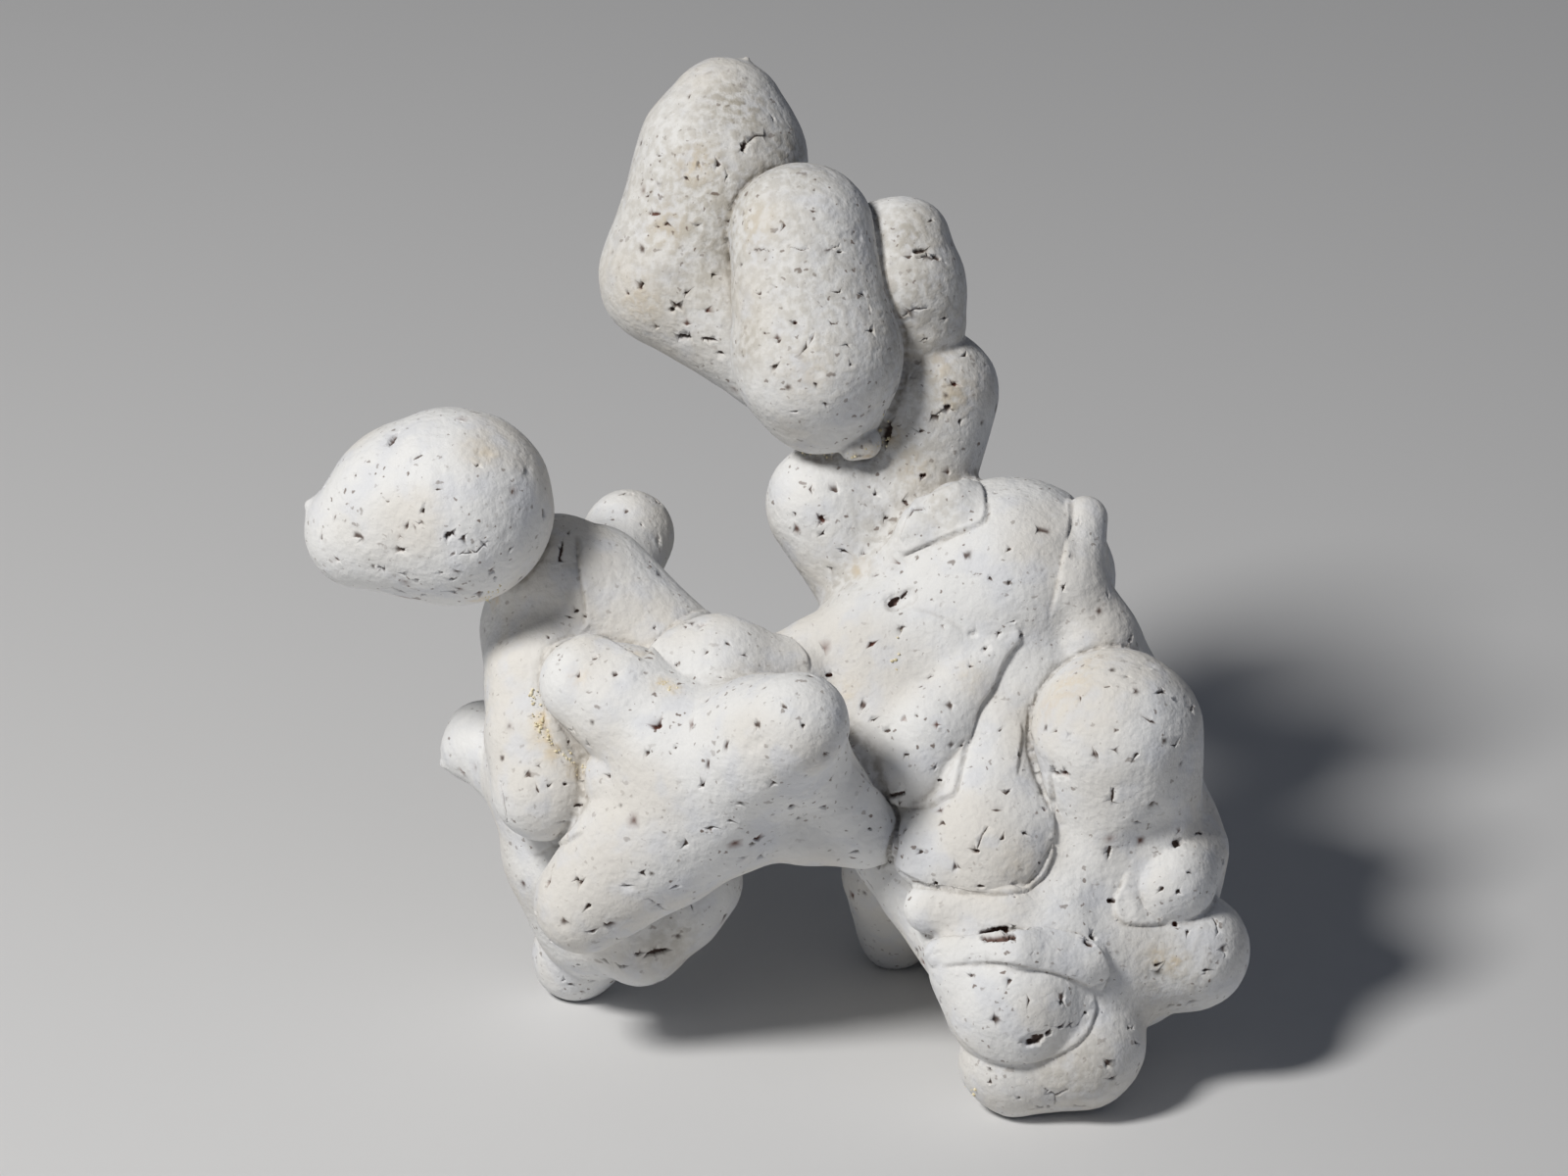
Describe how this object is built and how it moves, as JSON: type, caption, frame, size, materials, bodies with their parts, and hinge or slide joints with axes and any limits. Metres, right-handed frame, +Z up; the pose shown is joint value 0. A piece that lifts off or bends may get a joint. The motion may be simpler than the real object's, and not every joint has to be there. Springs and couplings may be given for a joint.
{
  "type": "menilite opal nodule",
  "caption": "Chalky white, lobed menilite opal concretion that stands on its own feet, with an arch beneath and finger-like lobes on top.",
  "frame": {"origin": "on the surface the nodule stands on, under the middle of its box", "axes": "+Z up, +X to the right and -Y towards the viewer, facing the show side with its egg-shaped lobe on the left"},
  "size_m": [0.096, 0.0682, 0.0922],
  "materials": {
    "chalky_opal": "matt chalky white skin with fine pores, dark pits and traces of yellow clay"
  },
  "bodies": {
    "root": {"menilite_nodule": "chalky_opal"}
  },
  "joints": []
}
